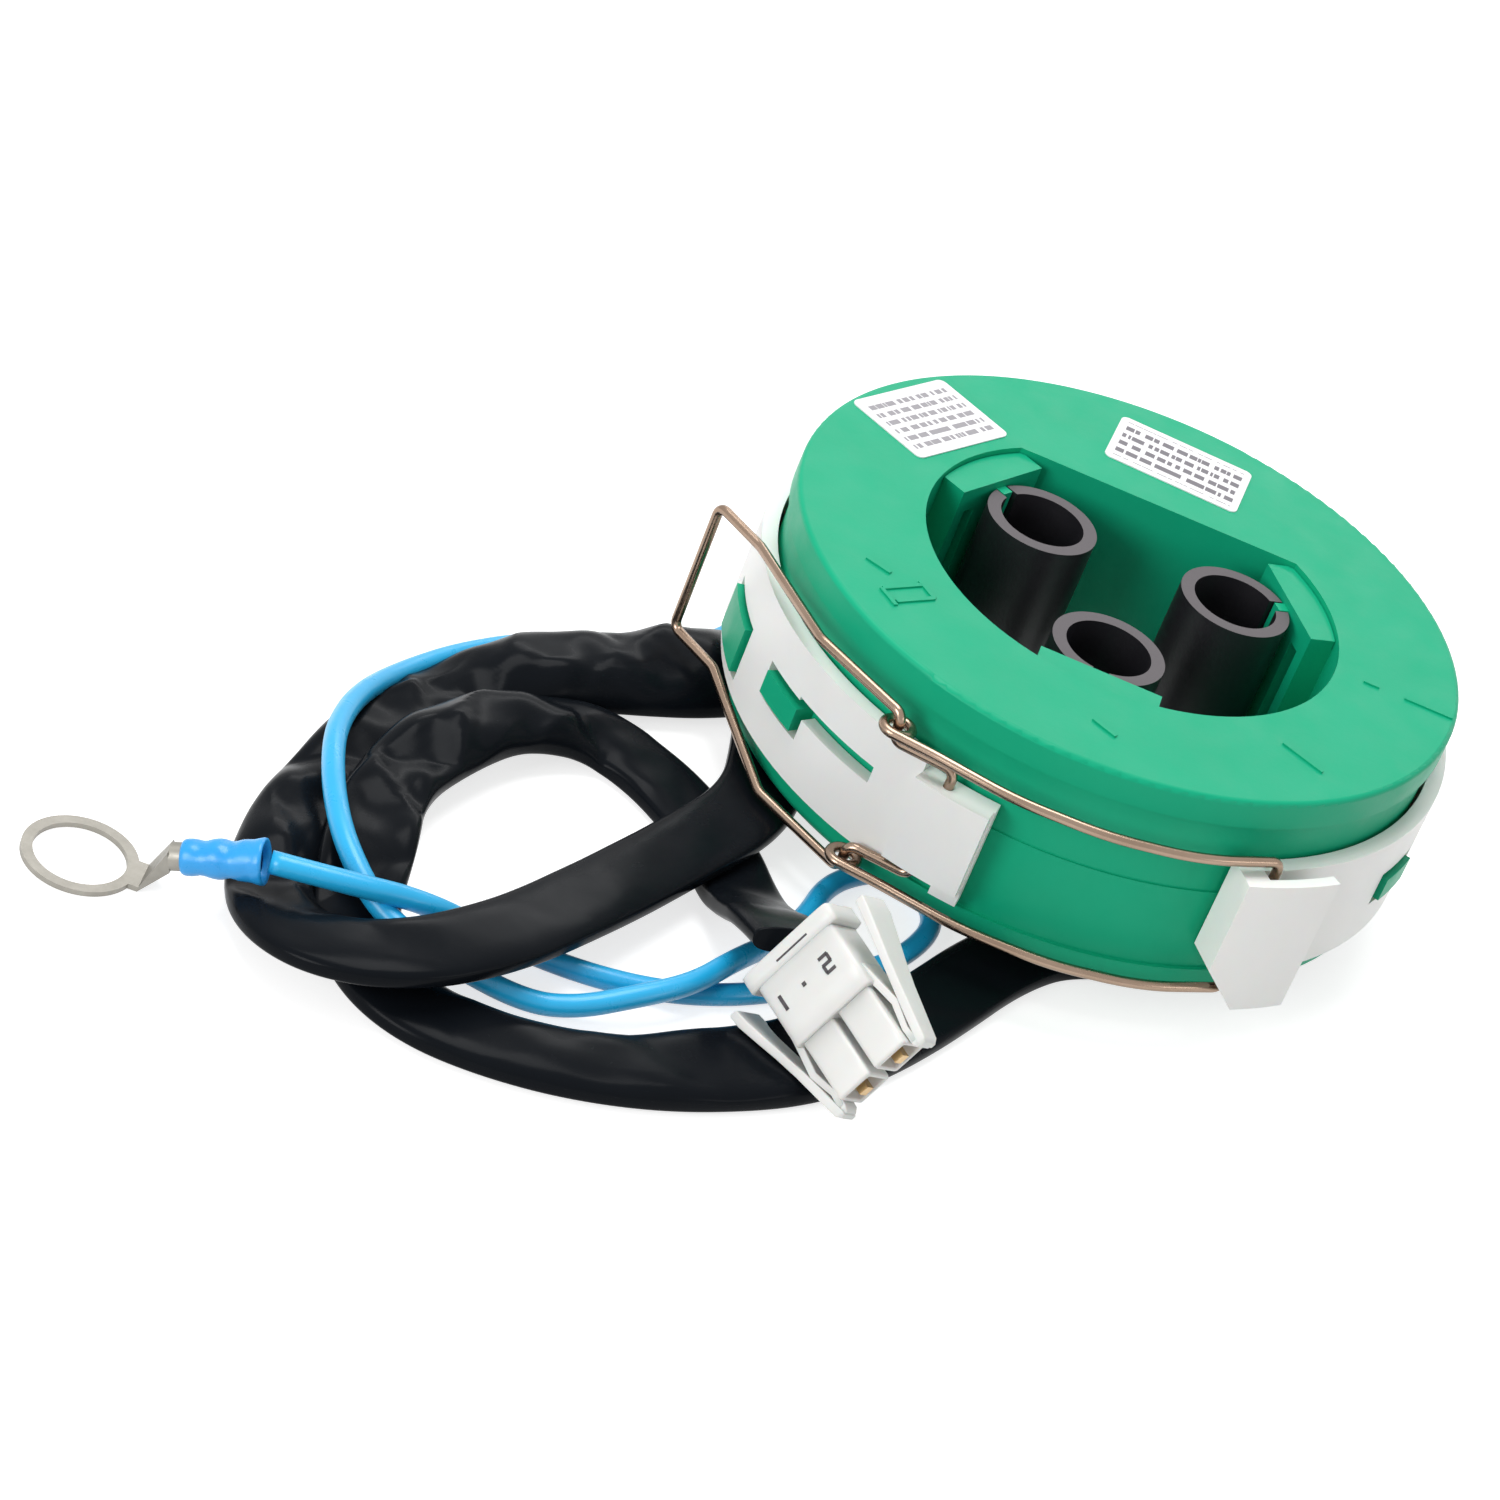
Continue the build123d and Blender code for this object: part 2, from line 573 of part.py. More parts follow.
# ---- Lead sleeve, second length: lower coil, front strand, inner strand, connector ----
lower_path = [shifted(lead_joint, outer_strand[-1], -joint_gap)]
for step in range(7):
    lower_path.append((*polar(coil_corner_r, lower_coil_start - coil_step * (step + 0.5)), layer_1))
lower_path += front_strand
lower_path += inner_strand
lower_path += connector_rise
lower_path.append(tuple(conn_rear + (conn_rear - Vector(*connector_rise[-1])) * 0.3))
lower_radii = corner_radii(lower_path)
with BuildPart() as lead_sleeve_lower:
    with BuildLine() as lower_line:
        FilletPolyline(*lower_path, radius=lower_radii)
    with BuildSketch(section_plane(lower_path)) as lower_section:
        Rectangle(sleeve_width, sleeve_thick)
        chamfer(lower_section.vertices(), sleeve_bevel)
    sweep(path=lower_line.line, binormal=level_guide(lower_line))
    # end cut flush with the connector's rear face
    with BuildSketch(Plane(origin=conn_rear - conn_axis * joint_gap, z_dir=conn_axis)):
        Circle(0.7 * sleeve_width)
    extrude(amount=0.7 * sleeve_width, mode=Mode.SUBTRACT)
lead_sleeve_lower.part.label = "lead_sleeve_lower"
export_step(lead_sleeve_lower.part, "parts/lead_sleeve_lower.step")

# ---- Earth wire: ring, left side, hairpin under the ring, terminal -------------------
wire_path = earth_route + [tuple(barrel_rear - barrel_axis * (joint_gap + wire_end_gap))]
wire_radii = corner_radii(wire_path)
with BuildPart() as earth_wire:
    with BuildLine() as wire_line:
        FilletPolyline(*wire_path, radius=wire_radii)
    with BuildSketch(section_plane(wire_path)):
        Circle(earth_r)
    sweep(path=wire_line.line)
earth_wire.part.label = "earth_wire"
export_step(earth_wire.part, "parts/earth_wire.step")

# ---- Insulating barrel over the crimp ------------------------------------------------
barrel_plane = Plane(origin=barrel_rear, x_dir=Vector(0, 0, 1).cross(barrel_axis), z_dir=barrel_axis)
with BuildPart() as terminal_barrel:
    with BuildSketch(barrel_plane):
        Circle(barrel_r)
    extrude(amount=barrel_length)
    fillet(terminal_barrel.edges(), 0.4)
    with BuildSketch(barrel_plane.offset(barrel_length)):
        Circle(crimp_r + joint_gap)
    extrude(amount=-crimp_depth, mode=Mode.SUBTRACT)
terminal_barrel.part.label = "terminal_barrel"
export_step(terminal_barrel.part, "parts/terminal_barrel.step")

# ---- Ring terminal: eye, sloping neck and crimp tube ---------------------------------
with BuildPart() as earth_terminal:
    with BuildSketch(Plane.XY.offset(terminal_low)):
        with Locations((eye_hole_x, eye_hole_y)):
            Circle(eye_outer_r)
        with Locations(Location((eye_hole_x, eye_hole_y, 0), (0, 0, terminal_turn))):
            Rectangle(neck_reach, neck_width, align=(Align.MIN, Align.CENTER))
    extrude(amount=terminal_thick)
    with BuildSketch(Plane.XY.offset(terminal_low)):
        with Locations((eye_hole_x, eye_hole_y)):
            Circle(eye_hole_r)
    extrude(amount=terminal_thick, mode=Mode.SUBTRACT)
    # neck rising to the crimp tube's mouth
    crimp_mouth = barrel_rear + barrel_axis * (barrel_length - crimp_depth + crimp_length)
    neck_x, neck_y = neck_reach * cos(radians(terminal_turn)), neck_reach * sin(radians(terminal_turn))
    neck_plane = Plane(origin=(eye_hole_x + neck_x, eye_hole_y + neck_y, terminal_low + terminal_thick / 2),
                       x_dir=Vector(0, 0, 1).cross(Vector(neck_x, neck_y, 0)), z_dir=(neck_x, neck_y, 0))
    with BuildSketch(neck_plane):
        Rectangle(neck_width, terminal_thick)
    with BuildSketch(Plane(origin=crimp_mouth, x_dir=barrel_plane.x_dir, z_dir=-barrel_axis)):
        Rectangle(2 * crimp_r - 0.4, 2 * crimp_r - 0.8)
    loft()
    with BuildSketch(Plane(origin=crimp_mouth, x_dir=barrel_plane.x_dir, z_dir=-barrel_axis)):
        Circle(crimp_r)
    extrude(amount=crimp_length - joint_gap)
earth_terminal.part.label = "earth_terminal"
export_step(earth_terminal.part, "parts/earth_terminal.step")

# ---- Connector housing: body, rear flange, two towers, latch arms --------------------
conn_face = Vector(*conn_face_hint)
conn_face = (conn_face - conn_axis * conn_face.dot(conn_axis)).normalized()
conn_across = conn_face.cross(conn_axis)
conn_plane = Plane(origin=conn_rear, x_dir=conn_across, z_dir=conn_axis)
with BuildPart() as connector_housing:
    with BuildSketch(conn_plane):
        Rectangle(2 * arm_reach, conn_thick)
    extrude(amount=flange_length)
    with BuildSketch(conn_plane):
        Rectangle(conn_width, conn_thick)
    extrude(amount=conn_body_length)
    for side in (-1, 1):
        with BuildSketch(conn_plane.offset(conn_body_length)):
            with Locations((side * tower_pitch / 2, 0)):
                Rectangle(tower_size, tower_size)
        extrude(amount=conn_length - conn_body_length)
        with BuildSketch(conn_plane.offset(conn_length)):
            with Locations((side * tower_pitch / 2, 0)):
                Rectangle(cavity_size, cavity_size)
        extrude(amount=-cavity_depth, mode=Mode.SUBTRACT)
        # latch arm hung on the flange, with its hook at the far end
        with BuildSketch(conn_plane):
            with Locations((side * (arm_reach - arm_thick / 2), 0)):
                Rectangle(arm_thick, arm_width)
        extrude(amount=arm_length)
        with BuildSketch(conn_plane.offset(arm_length - arm_hook)):
            with Locations((side * (arm_reach - arm_thick), 0)):
                Rectangle(2 * arm_thick, arm_width)
        extrude(amount=arm_hook)
    # slot across the rear flange's broad face
    with BuildSketch(conn_plane.offset(flange_length / 2)):
        with Locations((0, conn_thick / 2)):
            Rectangle(slot_length, 1.0)
    extrude(amount=0.8, both=True, mode=Mode.SUBTRACT)
connector_housing.part.label = "connector_housing"
export_step(connector_housing.part, "parts/connector_housing.step")

# ---- Contacts standing in the connector's cavities ------------------------------------
for number, side in enumerate((-1, 1), 1):
    with BuildPart() as contact:
        with BuildSketch(conn_plane.offset(conn_length - cavity_depth + joint_gap)):
            with Locations((side * tower_pitch / 2, 0)):
                Rectangle(contact_width, contact_width)
        extrude(amount=contact_length)
    contact.part.label = f"contact_{number}"
    export_step(contact.part, f"parts/contact_{number}.step")

# Smallest bend radius of each cord, and each cord's length
for name, radii, cord in (("lead_sleeve_upper", upper_radii, upper_line), ("lead_sleeve_lower", lower_radii, lower_line),
                          ("earth_wire", wire_radii, wire_line)):
    print(name, "bend radii", [round(radius, 1) for radius in radii], "length", round(sum(edge.length for edge in cord.edges()), 1))
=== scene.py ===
"""Core-balance current transformer: sealed ring, clamp band, wire bail latch, flat lead and earth wire."""
from math import cos, pi, radians, sin

import bpy
import numpy as np
from mathutils import Matrix, Vector


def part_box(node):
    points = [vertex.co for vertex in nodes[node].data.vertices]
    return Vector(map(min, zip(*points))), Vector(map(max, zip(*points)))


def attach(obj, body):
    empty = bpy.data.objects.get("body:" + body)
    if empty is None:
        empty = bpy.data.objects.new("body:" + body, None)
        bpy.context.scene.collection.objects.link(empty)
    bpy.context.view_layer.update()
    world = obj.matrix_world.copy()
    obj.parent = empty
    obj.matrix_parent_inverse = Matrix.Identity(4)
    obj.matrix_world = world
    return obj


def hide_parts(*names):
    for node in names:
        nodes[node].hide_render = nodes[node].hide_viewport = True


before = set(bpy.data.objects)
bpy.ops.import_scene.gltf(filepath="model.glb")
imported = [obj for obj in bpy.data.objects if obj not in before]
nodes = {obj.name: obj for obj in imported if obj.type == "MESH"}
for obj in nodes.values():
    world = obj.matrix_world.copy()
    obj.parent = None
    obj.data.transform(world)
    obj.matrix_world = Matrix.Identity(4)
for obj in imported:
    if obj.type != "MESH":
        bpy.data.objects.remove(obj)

scene = bpy.context.scene
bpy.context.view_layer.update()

# ---- Camera -----------------------------------------------------------------
# A long studio lens looks down at the ring from the front, tipped sideways so that
# the ring's top leans to the right. The lens is shifted, so the ring stands right of the middle.
ring_top = Vector((0.0, 0.0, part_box("housing_cover")[1].z))
turn, rise, tip = radians(-2.57), radians(29.54), radians(24.16)
reach = 0.7
back = Vector((sin(turn) * cos(rise), -cos(turn) * cos(rise), sin(rise)))
level = (-back).cross(Vector((0, 0, 1))).normalized()
upright = level.cross(-back)
lens = bpy.data.cameras.new("studio_lens")
lens.lens = 109.9
lens.sensor_width = 36.0
lens.shift_x = -0.2567
lens.shift_y = -0.1157
lens.clip_start = 0.05
lens.clip_end = 30.0
camera = bpy.data.objects.new("studio_camera", lens)
scene.collection.objects.link(camera)
across = level * cos(tip) + upright * sin(tip)
over = upright * cos(tip) - level * sin(tip)
stand = Matrix.Translation(ring_top + back * reach)
camera.matrix_world = stand @ Matrix((across, over, back)).transposed().to_4x4()
scene.camera = camera

# ---- Flat lead --------------------------------------------------------------
# Two cores in a lay-flat black vinyl sleeve, one unbroken length. It leaves the ring's underside,
# lies in two layers of part of a turn each under the ring, goes out to the left in two open loops,
# and rises into the connector. Upper layer, near strand, outer strand, lower layer, front, inner.
lead_width, lead_thick = 0.0126, 0.0035
lower_layer = lead_thick / 2
upper_layer = lower_layer + lead_thick + 0.0003


def on_arc(radius, height, *angles):
    """Points on a circle about the ring's axis: the radius times the cosine and the sine of each angle."""
    return [(radius * cos(radians(a)), radius * sin(radians(a)), height) for a in angles]


lead_route = on_arc(0.0400, upper_layer, 291) + on_arc(0.0420, upper_layer, 306)
lead_route += on_arc(0.0470, upper_layer, *range(336, 517, 30))
lead_route += [(-0.0453, -0.0048, 0.00555), (-0.0408, -0.0250, 0.00555), (-0.0390, -0.0420, 0.00555),
               (-0.0466, -0.0605, 0.0057), (-0.0547, -0.0810, 0.0072), (-0.0635, -0.1005, 0.0090),
               (-0.0745, -0.1138, 0.0093), (-0.0880, -0.1148, 0.0064)]
lead_route += [(-0.0968, -0.1020, 0.0022), (-0.0974, -0.0835, 0.00175), (-0.0966, -0.0665, 0.00175),
               (-0.0906, -0.0472, 0.00175), (-0.0848, -0.0347, 0.00175), (-0.0735, -0.0232, 0.0021),
               (-0.0610, -0.0158, 0.0034), (-0.0480, -0.0018, 0.0020), (-0.04006, 0.01804, 0.00175)]
lead_route += on_arc(0.0440, lower_layer, *range(130, -21, -30)) + on_arc(0.0410, lower_layer, -50)
lead_route += [(0.0105, -0.0385, 0.00175), (0.0025, -0.0495, 0.00175), (-0.0048, -0.0675, 0.00175),
               (-0.0126, -0.0840, 0.00175), (-0.0225, -0.0965, 0.00175), (-0.0370, -0.1070, 0.00175),
               (-0.0560, -0.1140, 0.00175), (-0.0725, -0.1135, 0.00175), (-0.0830, -0.1028, 0.0022)]
lead_route += [(-0.0862, -0.0886, 0.0054), (-0.0882, -0.0725, 0.0058), (-0.0845, -0.0575, 0.0058),
               (-0.0770, -0.0455, 0.0056), (-0.0660, -0.0355, 0.0020), (-0.0550, -0.0388, 0.00175),
               (-0.0426, -0.0490, 0.00175), (-0.0360, -0.0602, 0.0019), (-0.0325, -0.0693, 0.0070),
               (-0.0296, -0.0773, 0.0128), (-0.0260, -0.0843, 0.0158)]


def points_along(name, route, steps):
    """Points along a curve with no bevel: one open spline of order 3 that has the route's points as its
    control points. They come in order, as rows of x, y and z."""
    run = bpy.data.curves.new(name, "CURVE")
    run.dimensions = "3D"
    run.resolution_u = steps
    spline = run.splines.new("NURBS")
    spline.points.add(len(route) - 1)
    spline.points.foreach_set("co", np.column_stack([route, np.ones(len(route))]).ravel())
    spline.order_u = 3
    spline.use_endpoint_u = True
    made = bpy.data.objects.new(name, run)
    scene.collection.objects.link(made)
    mesh = bpy.data.meshes.new_from_object(made)
    points = np.empty(len(mesh.vertices) * 3)
    mesh.vertices.foreach_get("co", points)
    bpy.data.meshes.remove(mesh)
    bpy.data.curves.remove(run)
    return points.reshape(-1, 3)


def skin(name, *grids, closed_round=True, caps=True):
    """A mesh over one or more grids of points, rows along and columns round. Each quad joins four
    neighbours, the last column joins the first where the shape is closed round, and each end is filled
    with one face."""
    faces, smooth, start = [], [], 0
    for grid in grids:
        rows, columns = grid.shape[:2]
        index = start + np.arange(rows * columns).reshape(rows, columns)
        ahead = np.roll(index, -1, axis=1) if closed_round else index[:, 1:]
        here = index if closed_round else index[:, :-1]
        quads = np.stack([here[:-1], ahead[:-1], ahead[1:], here[1:]], axis=-1).reshape(-1, 4)
        ends = [index[0, ::-1].tolist(), index[-1].tolist()] if caps else []
        faces += quads.tolist() + ends
        smooth += [True] * len(quads) + [False] * len(ends)
        start += rows * columns
    mesh = bpy.data.meshes.new(name)
    mesh.from_pydata(np.concatenate([grid.reshape(-1, 3) for grid in grids]), [], faces)
    mesh.polygons.foreach_set("use_smooth", smooth)
    mesh.update()
    made = bpy.data.objects.new(name, mesh)
    scene.collection.objects.link(made)
    return made


lead_line = points_along("lead_run", lead_route, 22)
lead_steps = np.linalg.norm(np.diff(lead_line, axis=0), axis=1)
lead_along = np.concatenate([[0.0], np.cumsum(lead_steps)])


def stretches(along, *rows):
    """A sum of stretches of the lead. Each row is start, end and softness in metres and an amount, and
    gives that amount between its two distances: by half a smooth step up less half a smooth step down."""
    steps = [0.5 * amount * (np.tanh((along - start) / soft) - np.tanh((along - end) / soft))
             for start, end, soft, amount in rows]
    return np.sum(steps, axis=0)


def signed_power(value, power):
    """The size of a value raised to a power, with the value's own sign."""
    return np.sign(value) * np.abs(value) ** power


def lay_flat_sleeve(line, along, width, thick):
    """A flattened tube along a line. The section is a superellipse: powers of the cosine and the sine of
    the angle round it, times half the width across and half the thickness up. Across is level and square
    to the line. Where the sleeve is slack its upper face has folds on it, and where it is puffed that face
    stands higher. A fold is one minus the absolute sine of a slanting, wandering phase, raised to a power
    that makes it thin, and three such lie over two soft sine waves. The strand by the ring is drawn out
    wider, and so are two stretches on their inner side."""
    ahead = np.gradient(line, axis=0)
    ahead /= np.linalg.norm(ahead, axis=1)[:, None]
    side = np.cross([0.0, 0.0, 1.0], ahead)
    side /= np.linalg.norm(side, axis=1)[:, None]
    top = np.cross(ahead, side)
    puffed = stretches(along, (0.418, 0.466, 0.007, 2.4), (0.826, 0.864, 0.006, 0.9),
                       (0.345, 0.418, 0.010, 0.5), (0.700, 0.775, 0.012, 0.35))
    slack = stretches(along, (0.335, 0.478, 0.010, 1.0), (0.795, 0.868, 0.010, 1.0),
                      (0.690, 0.795, 0.010, 0.25), (0.243, 0.335, 0.010, 0.08))
    angle = np.linspace(0, 2 * pi, 48, endpoint=False)
    roundness = (0.52 + 0.10 * np.minimum(puffed, 1.5))[:, None]
    wide = signed_power(np.cos(angle)[None, :], roundness)
    high = signed_power(np.sin(angle)[None, :], roundness + 0.06)

    run, u = along[:, None] * 1000, wide * width * 500      # millimetres along and across
    relief = 0.16 * np.sin(2 * pi * (run + 0.8 * u) / 16.0)
    relief += 0.12 * np.sin(2 * pi * (run - 1.1 * u) / 11.0 + 1.0)
    # spacing in millimetres, share of along and of across in the phase, shift, rise and power
    for spacing, lengthwise, crosswise, shift, rise, power in ((19.0, 0.22, 1.0, 0.4, 0.50, 1.7),
                                                               (30.0, 1.0, 0.9, 1.3, -0.60, 1.9),
                                                               (21.0, 1.0, -1.3, 0.2, 0.42, 2.0)):
        wander = 2.2 * np.sin(run / 13 + u / 6 + shift)
        phase = (lengthwise * run + crosswise * u + wander) * pi / spacing + shift
        relief += rise * (1 - np.abs(np.sin(phase))) ** power
    under_share, crown = 0.12, 0.05
    lift = 1 + slack[:, None] * relief * np.where(high > 0, 1.0, under_share)
    lift += (puffed[:, None] + crown) * np.maximum(high, 0)

    spread = 1 + 0.05 * slack * np.sin(along * 1000 / 4.7) + stretches(along, (0.420, 0.468, 0.010, 0.34))
    inner = stretches(along, (0.704, 0.738, 0.006, 0.45), (0.434, 0.468, 0.008, 0.22))
    out = (spread[:, None] + inner[:, None] * (wide < 0)) * wide * width / 2
    up = high * lift * thick / 2
    return line[:, None, :] + side[:, None, :] * out[:, :, None] + top[:, None, :] * up[:, :, None]


lead = skin("flat_lead", lay_flat_sleeve(lead_line, lead_along, lead_width, lead_thick))
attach(lead, "transformer")
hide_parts("lead_sleeve_upper", "lead_sleeve_lower")


def add_node(tree, kind, sockets, **options):
    """One shader node. Each socket gets a plain value, or a link where it is given another node's output."""
    made = tree.nodes.new("ShaderNode" + kind)
    for option, value in options.items():
        setattr(made, option, value)
    for name, value in sockets.items():
        if isinstance(value, bpy.types.NodeSocket):
            tree.links.new(value, made.inputs[name])
        else:
            made.inputs[name].default_value = value
    return made


def start_finish(name, roughness, metallic=0.0, **constants):
    """A material with its shader, and the object coordinates that its patterns are laid out on."""
    material = bpy.data.materials.new(name)
    material.use_nodes = True
    tree = material.node_tree
    shader = tree.nodes["Principled BSDF"]
    shader.inputs["Roughness"].default_value = roughness
    shader.inputs["Metallic"].default_value = metallic
    for socket, value in constants.items():
        shader.inputs[socket.replace("_", " ")].default_value = value
    place = tree.nodes.new("ShaderNodeTexCoord").outputs["Object"]
    return material, tree, shader, place


def mottle(tree, shader, place, dark, light, scale):
    """Base colour that drifts between two near shades with a soft noise."""
    cloud = add_node(tree, "TexNoise", {"Vector": place, "Scale": scale, "Detail": 4.0, "Roughness": 0.6})
    blend = add_node(tree, "MixRGB", {"Fac": cloud.outputs["Fac"], "Color1": (*dark, 1), "Color2": (*light, 1)})
    tree.links.new(blend.outputs["Color"], shader.inputs["Base Color"])
    return blend.outputs["Color"]


def gloss_range(tree, shader, place, low, high, scale):
    """Roughness that drifts between two values with a noise."""
    cloud = add_node(tree, "TexNoise", {"Vector": place, "Scale": scale, "Detail": 5.0, "Roughness": 0.65})
    span = add_node(tree, "MapRange", {"Value": cloud.outputs["Fac"], "From Min": 0.3, "From Max": 0.7,
                                       "To Min": low, "To Max": high})
    tree.links.new(span.outputs["Result"], shader.inputs["Roughness"])


def grain(tree, shader, place, *layers):
    """Surface relief: noises of different scales, each given as scale, strength and height in metres,
    one bump on top of the other."""
    normal = None
    for scale, strength, height in layers:
        rough = add_node(tree, "TexNoise", {"Vector": place, "Scale": scale, "Detail": 3.0})
        sockets = {"Height": rough.outputs["Fac"], "Strength": strength, "Distance": height}
        if normal is not None:
            sockets["Normal"] = normal
        normal = add_node(tree, "Bump", sockets).outputs["Normal"]
    tree.links.new(normal, shader.inputs["Normal"])


def wear(node_names, material):
    """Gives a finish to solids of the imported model, in place of the plain one that each came with."""
    for name in node_names:
        slots = nodes[name].material_slots
        if not slots:
            nodes[name].data.materials.append(material)
        for slot in slots:
            slot.material = material


lead_vinyl, tree, shader, place = start_finish("lead_vinyl", 0.24, Specular_IOR_Level=0.045)
mottle(tree, shader, place, (0.0030, 0.0042, 0.0060), (0.0065, 0.0080, 0.0105), 60.0)
gloss_range(tree, shader, place, 0.18, 0.30, 90.0)
grain(tree, shader, place, (60.0, 0.10, 0.0006), (4200.0, 0.05, 0.00002))
lead.data.materials.append(lead_vinyl)

# ---- Earth wire -------------------------------------------------------------
# A stranded copper wire in blue insulation. It leaves the ring's underside, arcs out to the left
# over the lead, loops under the ring's front edge and comes back over the lead to its terminal.
earth_route = [(-0.0474, 0.0221, 0.00755), (-0.0474, 0.0221, 0.0040), (-0.0499, 0.0186, 0.0020),
               (-0.0578, -0.0030, 0.00175), (-0.0718, -0.0122, 0.00175), (-0.0815, -0.0187, 0.00175),
               (-0.0900, -0.0290, 0.00175), (-0.0955, -0.0400, 0.0024), (-0.0985, -0.0530, 0.0054),
               (-0.0988, -0.0640, 0.0076), (-0.0974, -0.0740, 0.0094), (-0.0935, -0.0855, 0.0097),
               (-0.0880, -0.0955, 0.0092), (-0.0795, -0.1025, 0.0062), (-0.0695, -0.1050, 0.0055),
               (-0.0575, -0.1023, 0.00185), (-0.0505, -0.1000, 0.0026), (-0.0435, -0.0950, 0.0046),
               (-0.0370, -0.0883, 0.0054), (-0.0330, -0.0790, 0.0053), (-0.0296, -0.0695, 0.0028),
               (-0.0262, -0.0585, 0.00175), (-0.0250, -0.0465, 0.00175), (-0.0165, -0.0370, 0.00175),
               (-0.0075, -0.0445, 0.00175), (-0.0105, -0.0580, 0.00175), (-0.0200, -0.0710, 0.00175),
               (-0.0290, -0.0805, 0.00175), (-0.0380, -0.0866, 0.00175), (-0.0470, -0.0900, 0.00175),
               (-0.0570, -0.0916, 0.0019), (-0.0666, -0.0938, 0.0040), (-0.0755, -0.0990, 0.0086),
               (-0.0855, -0.1044, 0.0106), (-0.0959, -0.1063, 0.0103)]
earth_width = 0.0033
earth_line = points_along("earth_run", earth_route, 14)


def round_wire(line, radius):
    """A tube along a line: circles of one radius square to it. The first circle's axes are carried from
    point to point by taking out of each the part that lies along the line."""
    ahead = np.gradient(line, axis=0)
    ahead /= np.linalg.norm(ahead, axis=1)[:, None]
    axes = [np.cross(ahead[0], [0.0, 1.0, 0.0])]
    for heading in ahead[1:]:
        axes.append(axes[-1] - heading * (axes[-1] @ heading))
        axes[-1] /= np.linalg.norm(axes[-1])
    first = np.array(axes) / np.linalg.norm(axes, axis=1)[:, None]
    second = np.cross(ahead, first)
    angle = np.linspace(0, 2 * pi, 20, endpoint=False)
    circle = np.cos(angle)[:, None] * first[:, None, :] + np.sin(angle)[:, None] * second[:, None, :]
    return line[:, None, :] + radius * circle


earth = skin("earth_wire_insulated", round_wire(earth_line, earth_width / 2))
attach(earth, "transformer")
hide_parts("earth_wire")
blue_vinyl, tree, shader, place = start_finish("blue_vinyl", 0.3)
mottle(tree, shader, place, (0.010, 0.37, 0.70), (0.022, 0.44, 0.80), 90.0)
gloss_range(tree, shader, place, 0.24, 0.38, 300.0)
grain(tree, shader, place, (900.0, 0.2, 0.0001), (6000.0, 0.1, 0.00002))
earth.data.materials.append(blue_vinyl)

# ---- Housing ----------------------------------------------------------------
# Base and cover of the sealed ring, moulded in green glass-filled nylon and bonded at
# the lap. The grain of the mould shows as a fine even relief.
moulded_green, tree, shader, place = start_finish("moulded_green", 0.42, Specular_IOR_Level=0.18)
mottle(tree, shader, place, (0.002, 0.350, 0.178), (0.006, 0.400, 0.216), 45.0)
gloss_range(tree, shader, place, 0.36, 0.50, 160.0)
grain(tree, shader, place, (60.0, 0.10, 0.0006), (1500.0, 0.22, 0.00006), (7000.0, 0.15, 0.00002))
wear(["housing_base", "housing_cover"], moulded_green)

# ---- Core, winding and pads -------------------------------------------------
# Wound nickel-iron strip, its enamelled winding and two pressboard pads, all sealed in
# the ring and out of sight.
wound_strip, tree, shader, place = start_finish("wound_strip", 0.4, 1.0)
mottle(tree, shader, place, (0.30, 0.30, 0.31), (0.42, 0.42, 0.43), 200.0)
grain(tree, shader, place, (3000.0, 0.3, 0.0001))
wear(["core_ring"], wound_strip)
enamelled_copper, tree, shader, place = start_finish("enamelled_copper", 0.35, 1.0)
mottle(tree, shader, place, (0.50, 0.20, 0.08), (0.66, 0.29, 0.12), 300.0)
grain(tree, shader, place, (2500.0, 0.4, 0.0002))
wear(["secondary_winding"], enamelled_copper)
pressboard, tree, shader, place = start_finish("pressboard", 0.85)
mottle(tree, shader, place, (0.44, 0.35, 0.22), (0.60, 0.50, 0.34), 120.0)
grain(tree, shader, place, (1800.0, 0.4, 0.0001))
wear(["base_pad", "cover_pad"], pressboard)

# ---- Conductor sleeves ------------------------------------------------------
# Three lengths of thick black insulating tube, slit down one side and pushed over the
# ribs of the holders. The sawn ends are duller than the drawn sides, and faces that point
# up are painted a lighter grey: a painted highlight of the light from above.
sleeve_black, tree, shader, place = start_finish("sleeve_black", 0.4)
drawn = mottle(tree, shader, place, (0.006, 0.006, 0.008), (0.013, 0.012, 0.015), 110.0)
# Faces that point up get a lighter grey base colour, painted light from overhead on the sawn ends; the same
# mask makes them rougher, the real dull sawn finish.
normal = tree.nodes.new("ShaderNodeNewGeometry").outputs["Normal"]
faces_up = add_node(tree, "SeparateXYZ", {"Vector": normal})
sawn_and_lit = add_node(tree, "MapRange", {"Value": faces_up.outputs["Z"], "From Min": 0.85, "From Max": 0.97})
ends = add_node(tree, "MixRGB", {"Fac": sawn_and_lit.outputs["Result"], "Color1": drawn,
                                 "Color2": (0.105, 0.095, 0.102, 1)})
tree.links.new(ends.outputs["Color"], shader.inputs["Base Color"])
dull = add_node(tree, "MapRange", {"Value": sawn_and_lit.outputs["Result"], "To Min": 0.38, "To Max": 0.72})
tree.links.new(dull.outputs["Result"], shader.inputs["Roughness"])
grain(tree, shader, place, (400.0, 0.15, 0.0002), (3600.0, 0.3, 0.00006))
wear(["conductor_sleeve_1", "conductor_sleeve_2", "conductor_sleeve_3"], sleeve_black)

# ---- Clamp band -------------------------------------------------------------
# A split band of natural white acetal that springs round the base, with the pivot block
# at one end and the catch at the other. Slightly creamy and satin.
natural_acetal, tree, shader, place = start_finish("natural_acetal", 0.4, Subsurface_Weight=0.12,
                                                   Subsurface_Scale=0.002)
mottle(tree, shader, place, (0.87, 0.87, 0.845), (0.92, 0.92, 0.90), 55.0)
gloss_range(tree, shader, place, 0.34, 0.48, 180.0)
grain(tree, shader, place, (90.0, 0.12, 0.0005), (1600.0, 0.18, 0.00006))
wear(["clamp_band"], natural_acetal)

